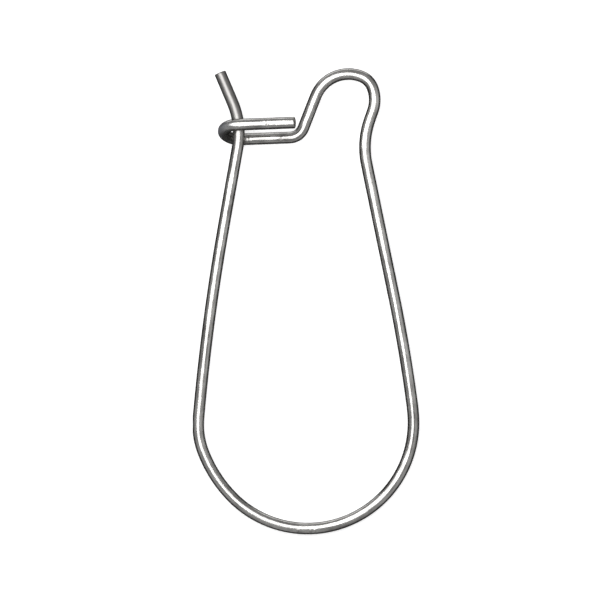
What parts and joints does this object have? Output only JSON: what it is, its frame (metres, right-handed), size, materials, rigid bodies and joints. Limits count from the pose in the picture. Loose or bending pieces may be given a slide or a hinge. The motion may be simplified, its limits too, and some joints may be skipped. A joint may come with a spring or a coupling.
{
  "type": "kidney ear wire",
  "caption": "Kidney-shaped ear wire bent from round steel wire, with a hump for the ear, a hooked catch that holds the free leg, and a round bottom for a drop.",
  "frame": {"origin": "bottom centre of the bounding box, on the surface that the wire lies on", "axes": "+Y up the loop as it is worn, +Z away from the surface, +X towards the rear leg"},
  "size_m": [0.0154, 0.0317, 0.0033],
  "materials": {
    "steel_wire": "bright drawn stainless steel with fine lines along the wire and light plier marks at the bends"
  },
  "bodies": {
    "root": {"ear_wire": "steel_wire"}
  },
  "joints": []
}
